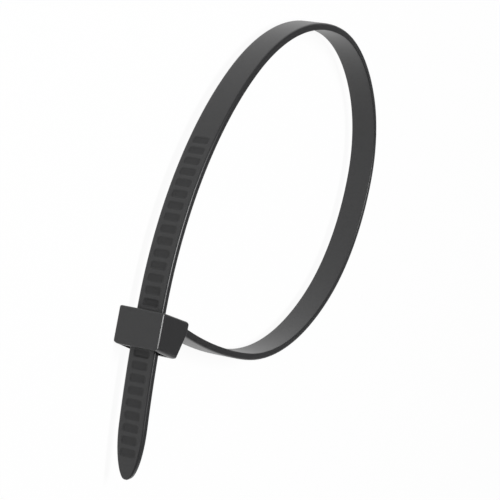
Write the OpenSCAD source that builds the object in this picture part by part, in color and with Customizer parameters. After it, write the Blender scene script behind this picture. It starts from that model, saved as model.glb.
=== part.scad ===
// A one-piece nylon cable tie, closed into a loop and lying on its side.
// Head, locking pawl and toothed strap are one moulding. The tip has come round the loop,
// through the slot in the head, and a few notches past the pawl. Millimetres throughout.

/* [Strap] */
// Width of the strap
strap_w = 4.8; // [4:0.1:6]
// Thickness of the strap
strap_t = 1.3; // [1.1:0.01:1.5]
// Rounding of the two long edges beside the notches
outer_edge = 0.4; // [0.1:0.01:0.5]
// Rounding of the two long edges of the plain face
inner_edge = 0.15; // [0.1:0.01:0.5]

/* [Loop] */
// Straight stretch of strap above the head
rise = 1; // [0.8:0.05:6]
// Radius of the second of the six bends, at the top of the loop
bend_2 = 46.6; // [38:0.1:54]
// Radius of the third bend, past the top
bend_3 = 30.8; // [24:0.1:38]
// Radius of the fourth bend, the tightest, at the far end
bend_4 = 22; // [17:0.1:27]
// Radius of the fifth bend, on the way back
bend_5 = 35.3; // [29:0.1:42]
// Radius of the sixth bend, at the bottom of the loop
bend_6 = 46.8; // [38:0.1:55]
// How far the strap climbs from the bottom of the loop to its root in the head
root_climb = 3.55; // [1:0.05:6]

/* [Tail] */
// Notch that the pawl's last tooth sits in, counted from the tip
notch = 10; // [5:1:16]
// Radius of the tail's own curl
tail_bend = 155; // [60:1:250]
// Length of the pointed tip
tip_l = 9; // [5:0.1:12]
// Plain strap between the end of the tip and the middle of the first notch
tip_plain = 4.6; // [3.5:0.05:7]

/* [Notches] */
// Number of notches along the strap
notch_count = 27; // [18:1:34]
// Distance from one notch to the next
notch_pitch = 2.08; // [2:0.01:2.4]
// Length of a notch along the strap
notch_l = 1.64; // [1.4:0.01:1.8]
// Width of a notch across the strap
notch_w = 3.2; // [2.4:0.05:3.6]
// Corner radius of a notch
notch_corner = 0.42; // [0.1:0.01:0.6]
// Depth of a notch at its locking wall, on the side of the tip
notch_deep = 0.42; // [0.35:0.01:0.6]
// Depth of a notch at the other end of its ramp
notch_shallow = 0.2; // [0.1:0.01:0.3]

/* [Head] */
// Width of the head across the strap
head_w = 8.35; // [7.4:0.05:10]
// Height of the head along the slot, at its nose
head_h = 6.65; // [6.4:0.05:8]
// Material from the strap's toothed face to the nose of the head
nose_depth = 2.6; // [2.3:0.05:3.5]
// Material from the strap's plain face to the back of the head
back_depth = 5.8; // [5:0.05:7]
// Angle by which the head's top and bottom fall towards the back
head_fall = 5.7; // [0:0.1:7]
// How far down the back stays upright before it slants in
back_straight = 1.8; // [1.4:0.05:2.4]
// How far the back has slanted in at the bottom
back_slant = 2.4; // [1:0.05:3]
// Height below the nose's top edge of the strap's middle line where it enters the back
root_drop = 2.15; // [1.9:0.05:2.6]
// Radius of the upper back corner
back_corner = 1; // [0.4:0.05:1.2]
// Radius of the lower back corner
heel_corner = 0.6; // [0.2:0.05:1]
// Radius of the upper and nose edges
head_edge = 0.38; // [0.15:0.01:0.6]
// Radius of the lower side edges
sole_edge = 0.8; // [0.3:0.05:1.1]

/* [Slot and pawl] */
// Clearance between the strap and each wall of the slot
slot_gap = 0.2; // [0.1:0.01:0.3]
// Wall left in front of the pawl at the nose
nose_wall = 0.85; // [0.6:0.05:1]
// Roof left above the pawl, which it hangs from
roof = 1.4; // [1:0.05:1.5]
// Gap between a tooth and each side of its notch
tooth_side_gap = 0.3; // [0.2:0.05:0.45]
// Gap between the pawl and each side of its chamber
pawl_side_gap = 0.35; // [0.2:0.05:0.5]
// Thickness of the pawl
pawl_t = 0.75; // [0.6:0.05:0.85]
// Running gap between the pawl and the strap's toothed face
pawl_gap = 0.14; // [0.1:0.01:0.2]
// Gap between a tooth and the notch that it sits in
tooth_gap = 0.08; // [0.05:0.01:0.12]
// Depth of the open well in the underside, around slot and pawl
well_depth = 1.4; // [0.8:0.05:1.6]
// Wall left at each side of the well
well_wall = 0.85; // [0.6:0.05:1]

/* [Hidden] */
turn = 45;             // each bend of the loop turns the strap by this angle
tooth_count = 2;
round_steps = 3;       // facets in each rounded edge of the strap
corner_steps = 8;      // facets in each larger corner
tip_steps = 30;        // facets in the outline of the tip
loop_fn = 240;         // facets in a full turn of a bend
lap = 0.5;             // how far the joined features of the head run into each other
past = 1;              // how far a cutter runs past the surface that it opens
root_lap = 2;          // how far the root of the strap runs into the head
trim_gap = 0.005;      // how far the trim of the head's long edges stands off its top and bottom
tooth_ramp = 0.25;     // the tooth's slope starts this far short of its notch's upper end
pawl_foot = 0.2;       // plain end of the pawl below its last tooth
pawl_neck = 0.6;       // plain stretch of the pawl above its first tooth
pawl_waist = 0.3;      // how much thinner the pawl is at its hinge
flare = 0.35;          // lead-in at the mouth of the slot
lean_gap = 0.06;       // what the leaning strap leaves of its clearance at the slot's lower end

strap_face = -strap_t / 2;                     // the toothed face, on the nose's side
nose_x = strap_face - nose_depth;
back_x = strap_t / 2 + back_depth;
well_back = nose_depth - nose_wall + strap_t / 2;
pawl_w = notch_w - 2 * tooth_side_gap;
through = 4 * (back_x + head_w);               // cuts or spans the whole head, both ways

// The radius of the first bend closes the loop, so that the strap comes back to the root
turn_long = sin(turn);
turn_short = 1 - cos(turn);
low_y = -root_drop - root_climb;
bend_1 = (turn_short * (bend_3 + bend_6 - bend_2) + turn_long * (bend_4 + bend_5) + low_y - rise)
    / turn_long;
bends = [bend_1, bend_2, bend_3, bend_4, bend_5, bend_6];

// Reach of the loop from the slot, then back from the bottom of the loop to the root
far_x = turn_short * (bend_1 + bend_4) + turn_long * (bend_2 + bend_3);
top_y = rise + turn_long * bend_1 + turn_short * bend_2;
root_reach = far_x - turn_short * bend_5 - turn_long * bend_6 - back_x;
root_bend = (root_reach * root_reach + root_climb * root_climb) / (2 * root_climb);
root_turn = asin(root_reach / root_bend) + arc_angle(root_lap, root_bend);

// Teeth and notches: the last tooth sits in notch number `notch`, whose middle is at seat
seat = -roof - pawl_neck - tooth_ramp - notch_l / 2 - notch_pitch * (tooth_count - 1);
tip_s = seat - (notch - 1) * notch_pitch - tip_plain;

// The tail starts to curl inside the slot, as high up as the slot's clearance lets the strap lean
lean = max(0, slot_gap - lean_gap);
curl_from = max(0, round(100 * (head_h - well_depth - sqrt(2 * tail_bend * lean))) / 100);
tail_l = -tip_s - curl_from;
tail_turn = arc_angle(tail_l, tail_bend);
tip_turn = arc_angle(tip_l, tail_bend);

// Where the part's own middle lies, seen from above
tail_end_y = -curl_from - (tail_bend + strap_t / 2) * sin(tail_turn);
middle_x = (nose_x + far_x + strap_t / 2) / 2;
middle_y = (top_y + strap_t / 2 + tail_end_y) / 2;

// Angle of an arc of length l and radius r
function arc_angle(l, r) = l / r * 180 / PI;

// The points of one rounded corner p between its neighbours a and b
function unit(v) = v / norm(v);
function corner(a, p, b, r, steps) =
    let (u = unit(a - p), v = unit(b - p), half = acos(u * v) / 2)
    let (centre = p + unit(u + v) * r / sin(half), from = p + u * r / tan(half) - centre)
    let (way = cross(u, v) > 0 ? -1 : 1, sweep = 180 - 2 * half)
    [for (i = [0:steps]) let (q = way * sweep * i / steps)
        centre + [from.x * cos(q) - from.y * sin(q), from.x * sin(q) + from.y * cos(q)]];

// A closed outline with each corner rounded by its own radius
function rounded(points, radii, steps = corner_steps) =
    let (n = len(points))
    [for (i = [0:n - 1])
        each corner(points[(i + n - 1) % n], points[i], points[(i + 1) % n], radii[i], steps)];

function box_points(x0, x1, y0, y1) = [[x0, y0], [x1, y0], [x1, y1], [x0, y1]];

// Place and heading of the strap's middle line at length d above the head's top
function along(d, i = 0, p = [0, rise], heading = 0) =
    d < -curl_from ? tail_place(arc_angle(-curl_from - d, tail_bend)) :
    i == 0 && d < rise ? [0, d, 0] :
    let (r = bends[i], arc = PI * r * turn / 180, from = i == 0 ? rise : 0, left = d - from)
    i == len(bends) - 1 || left < arc ? bent(p, heading, r, arc_angle(left, r)) :
    let (q = bent(p, heading, r, turn))
    along(left - arc, i + 1, [q.x, q.y], heading + turn);

// The same after a bend of radius r by the angle q, and after the tail's curl by the angle q
function bent(p, heading, r, q) =
    let (x = r * (1 - cos(q)), y = r * sin(q))
    [p.x + x * cos(heading) + y * sin(heading), p.y - x * sin(heading) + y * cos(heading), heading + q];
function tail_place(q) = [tail_bend * (1 - cos(q)), -curl_from - tail_bend * sin(q), -q];

// Section of the strap, with its toothed face on the side that `face` names: -1 or 1
module strap_section(face) {
    r = face < 0 ? [outer_edge, inner_edge] : [inner_edge, outer_edge];
    polygon(rounded(box_points(-strap_t / 2, strap_t / 2, -strap_w / 2, strap_w / 2),
                    [r[0], r[1], r[1], r[0]], round_steps));
}

module strap_length(l) rotate([-90, 0, 0]) linear_extrude(l) strap_section(-1);

// A curl of the strap by the angle q, round an upright axis, with the toothed face outside
module strap_curl(r, q) rotate_extrude(angle = q, $fn = loop_fn) translate([r, 0]) strap_section(1);

// Each bend starts at the origin, heading along +Y, and turns towards +X. It carries the rest of the
// strap at its end, so their faces meet square. The last stretch curls on into the head
module strap_loop(i = 0) {
    if (i < len(bends)) {
        translate([bends[i], 0, 0]) rotate([0, 0, 180 - turn]) strap_curl(bends[i], turn);
        translate([bends[i], 0, 0]) rotate([0, 0, -turn]) translate([-bends[i], 0, 0]) strap_loop(i + 1);
    } else {
        translate([root_bend, 0, 0]) rotate([0, 180, 0]) strap_curl(root_bend, root_turn);
    }
}

// The free tail curls on past the head. It is bent a little too long, and its tip is then cut out
module strap_tail() {
    spare_turn = arc_angle(past / 2, tail_bend);
    tip_start = tail_place(tail_turn - tip_turn);
    difference() {
        translate([tail_bend, -curl_from, 0]) rotate([0, 0, 180])
            strap_curl(tail_bend, tail_turn + spare_turn);
        translate([tip_start.x, tip_start.y, 0]) rotate([0, 0, tail_turn - tip_turn])
            rotate([0, 90, 0]) linear_extrude(strap_w, center = true) tip_waste();
    }
}

// What is cut away around the tip: a block less the half ellipse that stays
module tip_waste() {
    reach = tip_l + past;
    chord = tail_bend * sin(tip_turn);         // the straight length of the curled tip
    difference() {
        translate([-strap_w, -reach]) square([2 * strap_w, reach]);
        polygon([for (i = [0:tip_steps]) let (q = 180 * i / tip_steps)
            [strap_w / 2 * cos(q), -chord * sin(q)]]);
    }
}

// One notch: a ramp that deepens towards the tip, seen from the toothed face
module notch_cutter() {
    intersection() {
        linear_extrude(notch_w, center = true)
            polygon([[strap_face - past, -notch_l / 2], [strap_face + notch_deep, -notch_l / 2],
                     [strap_face + notch_shallow, notch_l / 2], [strap_face - past, notch_l / 2]]);
        rotate([0, 90, 0]) linear_extrude(2 * (strap_t + past), center = true)
            polygon(rounded(box_points(-notch_w / 2, notch_w / 2, -notch_l / 2, notch_l / 2),
                            [for (i = [0:3]) notch_corner], round_steps));
    }
}

module notches() {
    for (k = [0:notch_count - 1]) {
        place = along(seat + (k + 1 - notch) * notch_pitch);
        translate([place.x, place.y, 0]) rotate([0, 0, -place.z]) notch_cutter();
    }
}

module strap() {
    difference() {
        union() {
            strap_tail();
            translate([0, -curl_from, 0]) strap_length(curl_from + rise);
            translate([0, rise, 0]) strap_loop();
        }
        notches();
    }
}

// The block of the head: its side outline, trimmed by its front and top outlines
module head_block() {
    depth = back_x - nose_x;
    fall = depth * tan(head_fall);
    heel_fall = (depth - back_slant) * tan(head_fall);
    side = [[nose_x, 0], [back_x, -fall], [back_x, -fall - back_straight],
            [back_x - back_slant, -head_h - heel_fall], [nose_x, -head_h]];
    intersection() {
        linear_extrude(head_w, center = true)
            polygon(rounded(side, [head_edge, back_corner, head_edge, heel_corner, head_edge]));
        translate([nose_x, 0, 0]) rotate([0, 0, -head_fall]) rotate([0, 90, 0])
            linear_extrude(through, center = true)
                polygon(rounded(box_points(-head_w / 2, head_w / 2, -head_h * cos(head_fall) - trim_gap, trim_gap),
                                [sole_edge, sole_edge, head_edge, head_edge]));
        rotate([90, 0, 0]) linear_extrude(through, center = true)
            polygon(rounded(box_points(nose_x, back_x, -head_w / 2, head_w / 2),
                            [for (i = [0:3]) head_edge]));
    }
}

// The slot for the strap, flared at its mouth where the tip goes in
module slot() {
    half = strap_t / 2 + slot_gap;
    linear_extrude(strap_w + 2 * slot_gap, center = true)
        polygon([[-half, -head_h - past], [half, -head_h - past], [half, -flare],
                 [half + flare + past, past], [-half - flare - past, past], [-half, -flare]]);
}

// The chamber that the pawl hangs in, and the open well below it
module chamber() {
    front = nose_x + nose_wall;
    translate([front, -head_h - past, -pawl_w / 2 - pawl_side_gap])
        cube([strap_face - front, head_h + past - roof, pawl_w + 2 * pawl_side_gap]);
    translate([front, -head_h - past, -head_w / 2 + well_wall])
        cube([well_back - front, well_depth + past, head_w - 2 * well_wall]);
}

// The pawl hangs from the roof of its chamber, with its teeth in the strap's notches
module pawl() {
    face = strap_face - pawl_gap;
    back = face - pawl_t;
    crest = strap_face + notch_deep - tooth_gap;
    low = -notch_l / 2 + tooth_gap;
    end = seat + low - pawl_foot;
    linear_extrude(pawl_w, center = true)
        polygon(concat(
            [[back + pawl_waist, -roof + lap], [face, -roof + lap]],
            [for (k = [tooth_count - 1:-1:0]) let (y = seat + k * notch_pitch)
                each [[face, y + notch_l / 2 - tooth_ramp], [crest, y + low], [face, y + low]]],
            [[face, end], [back + pawl_waist, end], [back, end + pawl_waist], [back, seat + notch_pitch]]));
}

module head() {
    difference() {
        head_block();
        slot();
        chamber();
    }
    pawl();
}

module cable_tie()
    color("#2b2b2c")
        translate([-middle_x, -middle_y, head_w / 2]) {
            head();
            strap();
        }

cable_tie();
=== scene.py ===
# Looks of a one-piece nylon cable tie that lies on its side on a white table
import bmesh
import bpy
import numpy as np
from mathutils import Matrix, Vector


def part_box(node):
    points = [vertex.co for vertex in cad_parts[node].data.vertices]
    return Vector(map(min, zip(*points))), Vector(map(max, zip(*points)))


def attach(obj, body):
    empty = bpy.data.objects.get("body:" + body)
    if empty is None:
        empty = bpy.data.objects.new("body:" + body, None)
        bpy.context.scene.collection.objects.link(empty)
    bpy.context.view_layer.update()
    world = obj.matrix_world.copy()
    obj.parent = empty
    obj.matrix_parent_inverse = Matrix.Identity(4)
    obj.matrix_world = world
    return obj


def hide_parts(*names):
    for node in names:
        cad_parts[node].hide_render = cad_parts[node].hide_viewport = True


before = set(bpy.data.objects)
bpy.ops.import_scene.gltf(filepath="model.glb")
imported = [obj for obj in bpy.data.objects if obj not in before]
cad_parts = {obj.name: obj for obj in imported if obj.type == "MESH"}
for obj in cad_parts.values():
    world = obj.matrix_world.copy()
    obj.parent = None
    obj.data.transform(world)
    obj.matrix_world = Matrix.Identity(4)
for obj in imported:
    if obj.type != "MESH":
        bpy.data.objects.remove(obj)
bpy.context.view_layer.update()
nodeName = "cable_tie"
millimetre = 0.001

# Sizes in millimetres, in the tie's own directions: x from nose to back, y up along the slot and z across
# the strap. The zero point is the middle of the slot at the head's top.
strapSizes = {
    "width": 4.94,             # a little over the solid's, as the photograph shows it
    "thickness": 1.3,
    "outerEdge": 0.4,          # radius of the two long edges beside the notches
    "innerEdge": 0.15,         # radius of the other two
    "rise": 1.0,               # straight stretch above the head
    "laterBends": (46.6, 30.8, 22.0, 35.3, 46.8),    # radii of bends two to six
    "bendTurn": 45.0,          # degrees, for each of the six bends
    "rootClimb": 3.55,         # from the bottom of the loop up to the root in the head
    "blendLength": 7.0,        # over which one bend passes into the next
    "tailBend": 155.0,         # radius of the tail's own curl
    "tipDepth": 28.47,         # from the head's top to the end of the tip, along the strap
    "tipLength": 9.0,          # of the half ellipse at the end of the tail
    "rootLap": 2.0,            # how far the root runs into the head
}

headSizes = {
    "width": 8.35,
    "height": 6.65,            # at the nose, before its end is lifted
    "noseDepth": 2.6,
    "backDepth": 5.8,
    "fall": 5.7,               # degrees by which the top falls towards the back
    "backStraight": 1.8,       # height of the upright part of the back
    "backSlant": 2.4,          # how far the rest of the back slants in
    "rootDrop": 2.15,          # from the head's top to the middle of the strap's root
    "backCorner": 1.0,         # radius between the top and the back
    "heelCorner": 0.6,         # radius between the back and the underside
    "edge": 0.34,              # radius of the edges that have none of their own
    "noseEdge": 0.13,          # the two upright edges of the nose, where a narrow chamfer catches the light
    "sideReach": 1.3,          # how much further the chamfer reaches along the side than across the nose
    "soleEdge": 0.8,           # radius of the lower side edges
    "chinLift": 0.33,          # the nose ends this much higher, so that the underside shows below it
    "chinEdge": 0.14,          # where the nose meets the underside
    "slotGap": 0.2,            # round the strap
    "flare": 0.35,             # lead-in at the mouth of the slot
    "noseWall": 0.85,
    "roof": 1.4,               # above the pawl's chamber
    "wellDepth": 1.4,
    "wellWall": 0.85,
    "edgeSteps": 6,            # faces in each round of the head
    "soleSteps": 13,           # points in each round of the sole block
}


# The first bend's radius closes the loop, as in the solid
def firstBend():
    b2, b3, b4, b5, b6 = strapSizes["laterBends"]
    turn = np.radians(strapSizes["bendTurn"])
    across = (1 - np.cos(turn)) * (b3 + b6 - b2) + np.sin(turn) * (b4 + b5)
    return (across - headSizes["rootDrop"] - strapSizes["rootClimb"] - strapSizes["rise"]) / np.sin(turn)


bends = (firstBend(),) + strapSizes["laterBends"]
bendTurn = np.radians(strapSizes["bendTurn"])
backX = strapSizes["thickness"] / 2 + headSizes["backDepth"]
noseX = -strapSizes["thickness"] / 2 - headSizes["noseDepth"]
farX = (1 - np.cos(bendTurn)) * (bends[0] + bends[3]) + np.sin(bendTurn) * (bends[1] + bends[2])
topY = strapSizes["rise"] + np.sin(bendTurn) * bends[0] + (1 - np.cos(bendTurn)) * bends[1]

# The last stretch is an arc from the bottom of the loop up to the root. Its radius follows from how far
# it reaches and how far it climbs
rootReach = farX - (1 - np.cos(bendTurn)) * bends[4] - np.sin(bendTurn) * bends[5] - backX
rootBend = (rootReach ** 2 + strapSizes["rootClimb"] ** 2) / (2 * strapSizes["rootClimb"])
rootTurn = np.arcsin(rootReach / rootBend)
toBack = strapSizes["rise"] + bendTurn * sum(bends) + rootBend * rootTurn
loopLength = toBack + strapSizes["rootLap"]

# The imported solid's box says where the zero point lies in the frame. The blended bends reach a hair higher
# than the solid's arcs, and topMargin keeps them inside its box
topMargin = 0.008
lowCorner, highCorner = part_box(nodeName)
zeroPoint = np.array([lowCorner.x / millimetre - noseX,
                      highCorner.y / millimetre - topY - strapSizes["thickness"] / 2 - topMargin,
                      (lowCorner.z + highCorner.z) / 2 / millimetre])


# From millimetres in the tie's own directions to metres in the frame
def placed(points):
    return (np.asarray(points) + zeroPoint) * millimetre


strapGrid = {
    "start": -32.0,            # where the fine steps along the middle line begin, past the tip
    "step": 0.05,
    "blendSamples": 29,        # for the average over blendLength
    "tipRows": 28,
    "wallSteps": 5,            # rows and columns down each leaning wall
    "floorRows": (0.1, 0.22, 0.4),               # distances from the foot of the wall
    "rungShares": (0.5, 1.0),                    # of the way to the middle of the rung
    "plainGap": 0.25,          # between the last notch's rows and the plain ones
    "plainRows": 360,
    "floorColumns": (0.45, 0.3, 0.18, 0.08),     # distances from the foot of the wall
    "innerColumns": 5,
    "edgeSteps": 8,            # points round each rounded edge, across each side and across the back
    "sideSteps": 4,
    "backSteps": 13,
}


# Heading of the strap's middle line at length s above the head's top, in radians from +y towards +x.
# It is the sum of length over radius along each stretch. The loop's part is then averaged over
# blendLength, so that one bend passes smoothly into the next.
def headingAt(s):
    stops = [0.0, strapSizes["rise"]]
    for radius in bends:
        stops.append(stops[-1] + radius * bendTurn)
    turned = [0.0, 0.0] + [bendTurn * (k + 1) for k in range(len(bends))]
    stops.append(stops[-1] + rootBend * 2 * rootTurn)
    turned.append(turned[-1] + 2 * rootTurn)
    tail = np.minimum(s, 0) / strapSizes["tailBend"]
    half = strapSizes["blendLength"] / 2
    offsets = np.linspace(-half, half, strapGrid["blendSamples"])
    weights = 1 + np.cos(np.pi * offsets / half)
    loop = sum(w * np.interp(s + d, stops, turned) for w, d in zip(weights, offsets)) / weights.sum()
    return tail + loop


# Middle line: the heading's sine and cosine summed over short steps from the zero point, then moved a
# little, in proportion to the length, so that it meets the head's back where the solid does
def middleLine(s):
    fine = np.arange(strapGrid["start"], loopLength + strapGrid["step"], strapGrid["step"])
    heading = headingAt(fine)
    between = (heading[1:] + heading[:-1]) / 2
    step = np.diff(fine)
    x = np.concatenate([[0], np.cumsum(np.sin(between) * step)])
    y = np.concatenate([[0], np.cumsum(np.cos(between) * step)])
    x -= np.interp(0, fine, x)
    y -= np.interp(0, fine, y)
    share = np.clip(fine / toBack, 0, 1)
    x += share * (backX - np.interp(toBack, fine, x))
    y += share * (-headSizes["rootDrop"] - np.interp(toBack, fine, y))
    return np.interp(s, fine, x), np.interp(s, fine, y), headingAt(s)


# A closed sheet from a grid of points: rows along the path, columns round the section
def sheetFromGrid(name, points):
    rows, columns = points.shape[:2]
    row = np.arange(rows - 1)[:, None]
    column = np.arange(columns)[None, :]
    nextColumn = (column + 1) % columns
    faces = np.stack([row * columns + column, row * columns + nextColumn,
                      (row + 1) * columns + nextColumn, (row + 1) * columns + column], axis=-1)
    mesh = bpy.data.meshes.new(name)
    mesh.from_pydata(points.reshape(-1, 3).tolist(), [], faces.reshape(-1, 4).tolist())
    return mesh


# Welds doubled points at poles and seams, and turns every face outwards
def cleaned(mesh, reach=1e-7):
    work = bmesh.new()
    work.from_mesh(mesh)
    bmesh.ops.remove_doubles(work, verts=work.verts, dist=reach)
    bmesh.ops.dissolve_degenerate(work, edges=work.edges, dist=reach)
    bmesh.ops.recalc_face_normals(work, faces=work.faces)
    work.to_mesh(mesh)
    work.free()
    return mesh


ladderSizes = {
    "count": 27,
    "pitch": 2.08,
    "length": 1.64,
    "width": 3.2,
    "corner": 0.58,            # radius of each notch's corners
    "deep": 0.15,              # at the locking wall, on the tip's side
    "shallow": 0.1,
    "wall": 0.4,               # the walls lean over this distance
    "wallSoftness": 0.3,       # 0 is a straight slope, 1 a full S
    "skinAndShadeSpread": 2.4,         # how fast the duller skin and the painted shade set in down the wall
    "firstFromTip": 4.6,       # from the end of the tip to the middle of the first notch
}


# Depth of the ladder at length s and place z across: inside each rounded rectangle the floor is a ramp
# from shallow to deep, and the wall leans from the face down to it. Also gives how far down its wall each
# point is, from 0 to 1
def ladderDepth(s, z):
    first = -strapSizes["tipDepth"] + ladderSizes["firstFromTip"]
    index = np.clip(np.round((s - first) / ladderSizes["pitch"]), 0, ladderSizes["count"] - 1)
    y = s - first - index * ladderSizes["pitch"]
    r = ladderSizes["corner"]
    qy = np.abs(y) - ladderSizes["length"] / 2 + r
    qz = np.abs(z) - ladderSizes["width"] / 2 + r
    outside = np.hypot(np.maximum(qy, 0), np.maximum(qz, 0)) + np.minimum(np.maximum(qy, qz), 0) - r
    inward = np.clip(-outside / ladderSizes["wall"], 0, 1)
    soft = ladderSizes["wallSoftness"]
    share = (1 - soft) * inward + soft * inward * inward * (3 - 2 * inward)
    slope = 0.5 - np.clip(y / ladderSizes["length"], -0.5, 0.5)
    ramp = ladderSizes["shallow"] + (ladderSizes["deep"] - ladderSizes["shallow"]) * slope
    return share * ramp, share


# Lengths along the strap where the grid has a row
def rowPlaces():
    grid = strapGrid
    half = ladderSizes["length"] / 2
    wall = ladderSizes["wall"]
    near = half - np.linspace(0, wall, grid["wallSteps"])
    side = np.concatenate([near, half - wall - np.array(grid["floorRows"])])
    rung = half + (ladderSizes["pitch"] / 2 - half) * np.array(grid["rungShares"])
    pitchRows = np.unique(np.concatenate([-rung[:1], -side, [0.0], side[::-1], rung]).round(6))
    first = -strapSizes["tipDepth"] + ladderSizes["firstFromTip"]
    centres = first + ladderSizes["pitch"] * np.arange(ladderSizes["count"])
    ladder = (centres[:, None] + pitchRows[None, :]).ravel()
    tipEnd = -strapSizes["tipDepth"]
    toFirst = ladder.min() - tipEnd
    tip = tipEnd + toFirst * (1 - np.cos(np.linspace(0, np.pi / 2, grid["tipRows"])[:-1]))
    plain = np.linspace(ladder.max() + grid["plainGap"], loopLength, grid["plainRows"])
    return np.concatenate([tip, ladder, plain])


# Section of the strap: the outer face, a rounded edge, the side, and so on round. Gives the depth and the
# place across of each point, and how many of them are on the outer face
def sectionPoints():
    grid = strapGrid
    outer = strapSizes["outerEdge"]
    inner = strapSizes["innerEdge"]
    sideHalf = strapSizes["width"] / 2
    deepHalf = strapSizes["thickness"] / 2
    half = ladderSizes["width"] / 2
    wall = ladderSizes["wall"]
    floor = half - wall
    middle = np.linspace(0, floor - grid["floorColumns"][0], grid["innerColumns"])[:-1]
    leaning = half - np.linspace(wall, 0, grid["wallSteps"])
    border = [(half + sideHalf - outer) / 2, sideHalf - outer]
    halfFace = np.concatenate([middle, floor - np.array(grid["floorColumns"]), leaning, border])
    face = np.concatenate([-halfFace[::-1], halfFace[1:]])
    arc = np.linspace(0, np.pi / 2, grid["edgeSteps"])[1:-1]
    side = np.linspace(outer - deepHalf, deepHalf - inner, grid["sideSteps"])
    back = np.linspace(sideHalf - inner, inner - sideHalf, grid["backSteps"])
    depth = np.concatenate([np.full(len(face), -deepHalf), outer - deepHalf - outer * np.cos(arc), side,
                            deepHalf - inner + inner * np.sin(arc), np.full(len(back), deepHalf),
                            deepHalf - inner + inner * np.cos(arc), side[::-1],
                            outer - deepHalf - outer * np.sin(arc)])
    across = np.concatenate([face, sideHalf - outer + outer * np.sin(arc), np.full(len(side), sideHalf),
                             sideHalf - inner + inner * np.cos(arc), back,
                             inner - sideHalf - inner * np.sin(arc), np.full(len(side), -sideHalf),
                             outer - sideHalf - outer * np.cos(arc)])
    return depth, across, len(face)


# The strap: its section carried along the middle line. Towards the end of the tip the section narrows
# as a half ellipse, and its thickness rounds off over the last edge radius
def buildStrap():
    s = rowPlaces()
    x, y, heading = middleLine(s)
    depth, across, faceCount = sectionPoints()
    fromTip = s + strapSizes["tipDepth"]
    short = np.clip(1 - fromTip / strapSizes["tipLength"], 0, 1)
    narrow = np.sqrt(1 - short ** 2)
    r = strapSizes["outerEdge"]
    half = strapSizes["thickness"] / 2
    thin = (half - r + np.sqrt(r * r - np.clip(r - fromTip, 0, r) ** 2)) / half
    across = across[None, :] * narrow[:, None]
    depth = depth[None, :] * thin[:, None]
    sunk, share = ladderDepth(s[:, None], across)
    onFace = np.arange(depth.shape[1])[None, :] < faceCount
    depth = depth + np.where(onFace, sunk, 0)
    points = np.stack([x[:, None] + depth * np.cos(heading)[:, None],
                       y[:, None] - depth * np.sin(heading)[:, None], across], axis=-1)
    pole = np.broadcast_to(points[-1].mean(axis=0), points[-1:].shape)
    points = np.concatenate([points, pole])
    mesh = sheetFromGrid("strap", placed(points))
    notch = mesh.attributes.new("notch", "FLOAT", "POINT")
    # The same share gives the notches their duller skin and their painted shade, a darker colour in the
    # recesses
    skinAndShade = np.where(onFace, np.minimum(ladderSizes["skinAndShadeSpread"] * share, 1), 0)
    skinAndShade = np.concatenate([skinAndShade, np.zeros((1, depth.shape[1]))])
    notch.data.foreach_set("value", skinAndShade.ravel().astype(np.float32))
    strap = bpy.data.objects.new("strap", cleaned(mesh))
    bpy.context.scene.collection.objects.link(strap)
    return shadedByArea(strap)


# A closed body between two rings of points, each with the same number of them
def bodyBetween(name, firstRing, secondRing):
    count = len(firstRing)
    points = np.concatenate([firstRing, secondRing])
    faces = [tuple(range(count))[::-1], tuple(range(count, 2 * count))]
    faces += [(i, (i + 1) % count, count + (i + 1) % count, count + i) for i in range(count)]
    mesh = bpy.data.meshes.new(name)
    mesh.from_pydata(placed(points).tolist(), [], faces)
    made = bpy.data.objects.new(name, cleaned(mesh))
    bpy.context.scene.collection.objects.link(made)
    return made


# A straight prism: an outline in x and y, carried from z = -half to z = half
def prism(name, outline, half):
    return bodyBetween(name, [(x, y, -half) for x, y in outline], [(x, y, half) for x, y in outline])


# Cutting bodies reach this far past the head
cutReach = 1.0


# The block that the head's lower side edges are rounded by. Its section is a tall box whose two lower
# corners are quarter circles, and along x it follows the slope of the underside. It is a hair larger
# than the head, so that their flat faces don't fall together
def soleBlock(start, slope):
    hair = 0.002
    half = headSizes["width"] / 2 + hair
    radius = headSizes["soleEdge"]
    arc = np.linspace(0, np.pi / 2, headSizes["soleSteps"])
    corner = np.stack([half - radius + radius * np.sin(arc), radius - radius * np.cos(arc) - hair], axis=-1)
    tall = 3 * headSizes["height"]
    section = np.concatenate([corner, [[half, tall], [-half, tall]], corner[::-1] * (-1, 1)])
    rings = [[(x, y + start - slope * (x - noseX), z) for z, y in section]
             for x in (noseX - cutReach, backX + cutReach)]
    return bodyBetween("soleBlock", *rings)


# Puts what the modifiers make into the object's own mesh, and takes the modifiers off
def applied(made):
    bpy.context.view_layer.update()
    graph = bpy.context.evaluated_depsgraph_get()
    mesh = bpy.data.meshes.new_from_object(made.evaluated_get(graph))
    made.modifiers.clear()
    made.data = mesh
    return made


# Takes the cutter away from a body, or keeps only what lies in both of them
def carve(made, cutter, operation="DIFFERENCE"):
    boolean = made.modifiers.new("cut", "BOOLEAN")
    boolean.operation = operation
    boolean.solver = "EXACT"
    boolean.object = cutter
    applied(made)
    bpy.data.objects.remove(cutter)


# Rounds a body's edges: each by its own weight, or else all those that turn by more than leastTurn degrees
def roundEdges(made, width, segments, byWeight):
    leastTurn = 35
    bevel = made.modifiers.new("edge", "BEVEL")
    bevel.width = width * millimetre
    bevel.segments = segments
    bevel.limit_method = "WEIGHT" if byWeight else "ANGLE"
    bevel.angle_limit = np.radians(leastTurn)
    bevel.use_clamp_overlap = True
    applied(made)


# Smooth shading over the rounded edges, while each large face keeps its own flat normal. Edges that turn
# by more than sharpTurn degrees stay sharp
def shadedByArea(made):
    sharpTurn = 32
    made.data.shade_smooth()
    made.data.set_sharp_from_angle(angle=np.radians(sharpTurn))
    weighted = made.modifiers.new("flatFaces", "WEIGHTED_NORMAL")
    weighted.mode = "FACE_AREA"
    weighted.weight = 100      # 50 is neutral, and more favours the large faces
    weighted.keep_sharp = True
    return applied(made)


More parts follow.
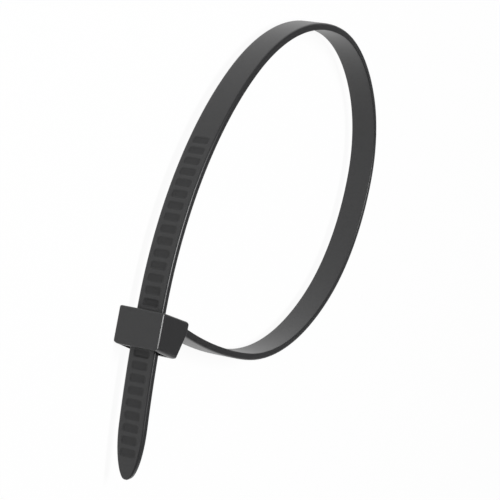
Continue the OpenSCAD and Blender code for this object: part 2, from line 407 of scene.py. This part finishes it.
# A rectangle, as an outline in x and y
def boxOutline(x0, x1, y0, y1):
    return [(x0, y0), (x1, y0), (x1, y1), (x0, y1)]


# Turns the round of the nose's two upright edges into a narrow chamfer. A point's place in the round is
# a from the side's end and b from the nose's end. Both shrink by the ratio of the chord to the arc, and
# the chamfer then reaches a little further along the side than across the nose
def flattenNoseEdges(head):
    slack = 1e-3
    tiny = 1e-9
    h = headSizes
    mesh = head.data
    spots = np.empty(len(mesh.vertices) * 3)
    mesh.vertices.foreach_get("co", spots)
    spots = spots.reshape(-1, 3) / millimetre - zeroPoint
    r = h["noseEdge"]
    u = spots[:, 0] - noseX
    w = h["width"] / 2 - np.abs(spots[:, 2])
    a = np.clip(r - u, 0, r)
    b = np.clip(r - w, 0, r)
    near = (u < r + slack) & (w < r + slack)
    ratio = np.where(near & (a > 0) & (b > 0), np.hypot(a, b) / np.maximum(a + b, tiny), 1)
    newU = np.where(near, (r - a * ratio) * h["sideReach"], u)
    newW = np.where(near, r - b * ratio, w)
    spots[:, 1] -= (newU - u) * np.tan(np.radians(h["fall"]))
    spots[:, 0] = noseX + newU
    spots[:, 2] = np.sign(spots[:, 2]) * (h["width"] / 2 - newW)
    mesh.vertices.foreach_set("co", placed(spots).ravel())
    mesh.update()


# The head: a prism of its side outline with each edge rounded by its own radius. The nose's two upright
# edges then become chamfers, the sole block rounds the lower side edges, and the slot, the pawl's
# chamber and the well in the underside are cut out
def buildHead():
    h = headSizes
    base = -h["height"]
    slope = np.tan(np.radians(h["fall"]))
    fall = (backX - noseX) * slope
    heel = (backX - h["backSlant"], base - fall + h["backSlant"] * slope)
    chin = (noseX, base + h["chinLift"])
    outline = [(noseX, 0), (backX, -fall), (backX, -fall - h["backStraight"]), heel, chin]
    # Radii round the outline's corners, and along the two sides of each stretch between them. The
    # underside's, the fourth, is left to the sole block
    outlineRadii = [h["edge"], h["backCorner"], h["edge"], h["heelCorner"], h["chinEdge"]]
    sideRadii = [h["edge"], h["edge"], h["edge"], 0, h["noseEdge"]]
    head = prism("head", outline, h["width"] / 2)

    # An edge's weight is the distance from it to where its round begins, as a share of the largest
    # radius. The distance is the radius times tan(turn / 2), so it is the radius itself along the sides
    corners = [np.array(p) for p in outline]
    weights = {}
    largest = h["backCorner"]
    for i, corner in enumerate(corners):
        before = corner - corners[i - 1]
        after = corners[(i + 1) % len(corners)] - corner
        turn = np.arccos(before @ after / np.linalg.norm(before) / np.linalg.norm(after))
        weights["across", i] = outlineRadii[i] * np.tan(turn / 2) / largest
        weights["along", i] = sideRadii[i] / largest
    values = np.zeros(len(head.data.edges), np.float32)
    spots = (np.array([v.co for v in head.data.vertices]) / millimetre - zeroPoint)[:, :2]
    nearest = [int(np.argmin([np.linalg.norm(spot - c) for c in corners])) for spot in spots]
    for edge in head.data.edges:
        a, b = nearest[edge.vertices[0]], nearest[edge.vertices[1]]
        if a == b:
            values[edge.index] = weights["across", a]
        else:
            first = a if (a + 1) % len(corners) == b else b
            values[edge.index] = weights["along", first]
    head.data.attributes.new("bevel_weight_edge", "FLOAT", "EDGE").data.foreach_set("value", values)
    roundEdges(head, largest, h["edgeSteps"], True)
    flattenNoseEdges(head)
    soleSlope = (chin[1] - heel[1]) / (heel[0] - chin[0])
    carve(head, soleBlock(chin[1], soleSlope), "INTERSECT")

    face = -strapSizes["thickness"] / 2
    slotHalf = strapSizes["thickness"] / 2 + h["slotGap"]
    front = noseX + h["noseWall"]
    wellBack = h["noseDepth"] - h["noseWall"] + strapSizes["thickness"] / 2
    mouthHalf = slotHalf + h["flare"] + cutReach
    slot = [(-slotHalf, base - cutReach), (slotHalf, base - cutReach), (slotHalf, -h["flare"]),
            (mouthHalf, cutReach), (-mouthHalf, cutReach), (-slotHalf, -h["flare"])]
    carve(head, prism("slotCut", slot, strapSizes["width"] / 2 + h["slotGap"]))
    chamber = boxOutline(front, face, base - cutReach, -h["roof"])
    carve(head, prism("chamberCut", chamber, pawlSizes["width"] / 2 + pawlSizes["sideGap"]))
    well = boxOutline(front, wellBack, base - cutReach, base + h["wellDepth"])
    carve(head, prism("wellCut", well, h["width"] / 2 - h["wellWall"]))
    return shadedByArea(head)


pawlSizes = {
    "width": 2.6,
    "sideGap": 0.35,           # to each side of its chamber
    "thickness": 0.75,
    "gap": 0.14,               # between the pawl and the strap's face
    "toothGap": 0.08,          # between a tooth and its notch's floor and locking wall
    "toothRamp": 0.25,         # a tooth's slope starts this far short of its notch's upper end
    "foot": 0.2,               # plain end below the last tooth
    "neck": 0.6,               # this and toothRamp lie between the roof and the first tooth's notch
    "waist": 0.3,              # how much thinner it is at its hinge, and the chamfer at its end
    "teeth": 2,
    "rootLap": 0.5,            # how far it runs into the roof
    "edge": 0.05,
    "edgeSteps": 2,
}


# The pawl: it hangs from the roof of its chamber, with its teeth in two of the strap's notches
def buildPawl():
    p = pawlSizes
    strapFace = -strapSizes["thickness"] / 2
    face = strapFace - p["gap"]
    back = face - p["thickness"]
    crest = strapFace + ladderSizes["deep"] - p["toothGap"]
    low = -ladderSizes["length"] / 2 + p["toothGap"]
    up = ladderSizes["length"] / 2 - p["toothRamp"]
    seat = -headSizes["roof"] - p["neck"] - p["toothRamp"] - ladderSizes["length"] / 2 \
        - ladderSizes["pitch"] * (p["teeth"] - 1)
    end = seat + low - p["foot"]
    top = p["rootLap"] - headSizes["roof"]
    outline = [(back + p["waist"], top), (face, top)]
    for k in range(p["teeth"] - 1, -1, -1):
        middle = seat + k * ladderSizes["pitch"]
        outline += [(face, middle + up), (crest, middle + low), (face, middle + low)]
    outline += [(face, end), (back + p["waist"], end), (back, end + p["waist"]),
                (back, seat + ladderSizes["pitch"])]
    pawl = prism("pawl", outline, p["width"] / 2)
    roundEdges(pawl, p["edge"], p["edgeSteps"], False)
    return shadedByArea(pawl)


# A hex colour in sRGB as linear light
def linear(hexColour):
    values = [int(hexColour[i:i + 2], 16) / 255 for i in (1, 3, 5)]
    return tuple(v / 12.92 if v <= 0.04045 else ((v + 0.055) / 1.055) ** 2.4 for v in values) + (1.0,)


# Adds a node, links each named input to another node's output, and takes each further setting as a property
# of the node or else as an input's value
def addNode(tree, kind, links=None, **settings):
    node = tree.nodes.new(kind)
    for key, value in settings.items():
        if hasattr(node, key):
            setattr(node, key, value)
        else:
            node.inputs[key.replace("_", " ")].default_value = value
    for name, output in (links or {}).items():
        tree.links.new(output, node.inputs[name])
    return node


nylonLook = {
    "face": "#2e2e2f",         # deep grey of the moulded faces
    "notch": "#262627",        # painted shade: a little darker in the recessed notches
    "roughness": 0.36,
    "glossDrift": 0.03,        # how far the roughness drifts to each side
    "notchRoughness": 0.58,
    "ior": 1.53,
    "grain": 0.25,             # millimetres between the bumps of the mould's spark-eroded skin
    "grainDepth": 0.004,
    "bump": 0.4,               # strength of the grain
    "drift": 14.0,             # millimetres over which the gloss drifts
    "driftDetail": 3.0,
    "grainDetail": 2.0,
}


# Black nylon 66 from a polished steel mould: deep grey with a satin sheen that grows towards the grazing
# faces, and a slightly duller skin in the notches, where the steel was cut. The notches' colour is also made
# darker, which is painted shade in the recesses
def nylonMaterial():
    look = nylonLook
    material = bpy.data.materials.new("mouldedBlackNylon")
    material.use_nodes = True
    tree = material.node_tree
    tree.nodes.clear()
    place = addNode(tree, "ShaderNodeTexCoord").outputs["Object"]
    notch = addNode(tree, "ShaderNodeAttribute", attribute_name="notch").outputs["Fac"]
    drift = addNode(tree, "ShaderNodeTexNoise", {"Vector": place},
                    Scale=1 / (look["drift"] * millimetre), Detail=look["driftDetail"]).outputs["Fac"]
    # Painted shade: the notch share darkens the colour in the recessed notches
    # Inputs 6 and 7 of this node are the two colours that it mixes
    colour = addNode(tree, "ShaderNodeMix", {"Factor": notch}, data_type="RGBA")
    colour.inputs[6].default_value = linear(look["face"])
    colour.inputs[7].default_value = linear(look["notch"])
    base = addNode(tree, "ShaderNodeMapRange", {"Value": drift},
                   To_Min=look["roughness"] - look["glossDrift"],
                   To_Max=look["roughness"] + look["glossDrift"])
    rough = addNode(tree, "ShaderNodeMix", {"Factor": notch, "A": base.outputs["Result"]}, data_type="FLOAT")
    rough.inputs["B"].default_value = look["notchRoughness"]
    grain = addNode(tree, "ShaderNodeTexNoise", {"Vector": place},
                    Scale=1 / (look["grain"] * millimetre), Detail=look["grainDetail"]).outputs["Fac"]
    bump = addNode(tree, "ShaderNodeBump", {"Height": grain}, Strength=look["bump"],
                   Distance=look["grainDepth"] * millimetre)
    shader = addNode(tree, "ShaderNodeBsdfPrincipled",
                     {"Base Color": colour.outputs[2], "Roughness": rough.outputs[0],
                      "Normal": bump.outputs["Normal"]}, IOR=look["ior"])
    addNode(tree, "ShaderNodeOutputMaterial", {"Surface": shader.outputs["BSDF"]})
    return material


stageLook = {
    "tableReach": 1300.0,      # how far the table is flat
    "rim": 320.0,              # radius of the turned-up rim
    "innerRings": (1, 400),    # radii of two rings on the flat part
    "rimSteps": 13,            # rings on the rim
    "sides": 96,               # corners of each ring
    "table": "#f4f4f4",
    "shadowShare": 0.05,       # how much of the table's look is left to light and shadow
    "world": 0.05,             # strength of the even white light from all round
}


# A matt white table, whose rim turns up far away so that a low view ends in white too. To the camera
# and in reflections most of it is plain white, and the rest takes the light, so that the tie keeps a
# soft shadow. The rim lies at tableReach + rim sin(a) from the middle, at a height of rim (1 - cos(a))
def buildTable():
    rim = stageLook["rim"]
    rise = np.linspace(0, np.pi / 2, stageLook["rimSteps"])
    reach = np.concatenate([stageLook["innerRings"], stageLook["tableReach"] + rim * np.sin(rise)])
    height = np.concatenate([[0, 0], rim * (1 - np.cos(rise))])
    turn = np.linspace(0, 2 * np.pi, stageLook["sides"] + 1)[:-1]
    points = np.stack([reach[:, None] * np.cos(turn), reach[:, None] * np.sin(turn),
                       height[:, None] + 0 * turn], axis=-1)
    centre = np.zeros((1, len(turn), 3))
    mesh = cleaned(sheetFromGrid("table", np.concatenate([centre, points]) * millimetre))
    mesh.flip_normals()
    table = bpy.data.objects.new("table", mesh)
    bpy.context.scene.collection.objects.link(table)
    material = bpy.data.materials.new("mattWhiteTable")
    material.use_nodes = True
    tree = material.node_tree
    tree.nodes.clear()
    path = addNode(tree, "ShaderNodeLightPath")
    seen = addNode(tree, "ShaderNodeMath",
                   {0: path.outputs["Is Camera Ray"], 1: path.outputs["Is Glossy Ray"]}, operation="MAXIMUM")
    seenAll = addNode(tree, "ShaderNodeMath", {0: seen.outputs[0], 1: path.outputs["Is Transmission Ray"]},
                      operation="MAXIMUM")
    share = addNode(tree, "ShaderNodeMath", {0: seenAll.outputs[0]}, operation="MULTIPLY")
    share.inputs[1].default_value = 1 - stageLook["shadowShare"]
    matt = addNode(tree, "ShaderNodeBsdfDiffuse", Color=linear(stageLook["table"]))
    white = addNode(tree, "ShaderNodeEmission", Color=(1, 1, 1, 1), Strength=1.0)
    both = addNode(tree, "ShaderNodeMixShader",
                   {0: share.outputs[0], 1: matt.outputs[0], 2: white.outputs[0]})
    addNode(tree, "ShaderNodeOutputMaterial", {"Surface": both.outputs[0]})
    mesh.materials.append(material)


# A soft box: where it stands and what it faces, in millimetres from the frame's zero point, which is in
# the middle of the loop on the table
lights = {
    "keyBox": {"from": (-150, 132, 665), "at": (-40, 0, 0), "size": (120, 350), "watts": 4.8},
}


def buildLights():
    for name, light in lights.items():
        lamp = bpy.data.lights.new(name, "AREA")
        lamp.shape = "RECTANGLE"
        lamp.size = light["size"][0] * millimetre
        lamp.size_y = light["size"][1] * millimetre
        lamp.energy = light["watts"]
        made = bpy.data.objects.new(name, lamp)
        spot = Vector(light["from"]) * millimetre
        aim = (Vector(light["at"]) * millimetre - spot).normalized()
        right = Vector((0, 1, 0)).cross(-aim).normalized()
        made.matrix_world = axesMatrix(spot, right, (-aim).cross(right), -aim)
        bpy.context.scene.collection.objects.link(made)
    world = bpy.data.worlds.new("room")
    bpy.context.scene.world = world
    world.use_nodes = True
    world.node_tree.nodes["Background"].inputs["Color"].default_value = (1, 1, 1, 1)
    world.node_tree.nodes["Background"].inputs["Strength"].default_value = stageLook["world"]


# Puts a thing at a spot, with its own x, y and z along three given directions
def axesMatrix(spot, right, up, back):
    return Matrix.Translation(spot) @ Matrix((right, up, back)).transposed().to_4x4()


# The camera stands in front of the nose and looks down at about 25 degrees, and its own up direction runs
# nearly along the slot, so the tie is seen from where the photograph saw it. Spot and aim are in
# millimetres from the zero point in the slot
cameraSizes = {
    "spot": (-269.382, 5.718, 141.271),
    "aim": (2.418, 12.604, 14.474),
    "up": (-0.09810, 0.98265, -0.15742),
    "focal": 132.98,
    "sensor": 36.0,
    "clip": (0.01, 20.0),      # nearest and farthest that it sees, in metres
}


def buildCamera():
    data = bpy.data.cameras.new("camera")
    data.lens = cameraSizes["focal"]
    data.sensor_width = cameraSizes["sensor"]
    data.clip_start, data.clip_end = cameraSizes["clip"]
    spot = Vector(placed(cameraSizes["spot"]))
    back = (spot - Vector(placed(cameraSizes["aim"]))).normalized()
    right = Vector(cameraSizes["up"]).cross(back).normalized()
    camera = bpy.data.objects.new("camera", data)
    camera.matrix_world = axesMatrix(spot, right, back.cross(right), back)
    bpy.context.scene.collection.objects.link(camera)
    bpy.context.scene.camera = camera


buildCamera()
buildLights()
buildTable()
print("stage ready")

nylon = nylonMaterial()
for piece in (buildStrap(), buildHead(), buildPawl()):
    piece.data.materials.clear()
    piece.data.materials.append(nylon)
    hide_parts(nodeName)
    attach(piece, "root")
    print(piece.name, len(piece.data.polygons), "faces")

bpy.context.scene.view_settings.view_transform = "Standard"
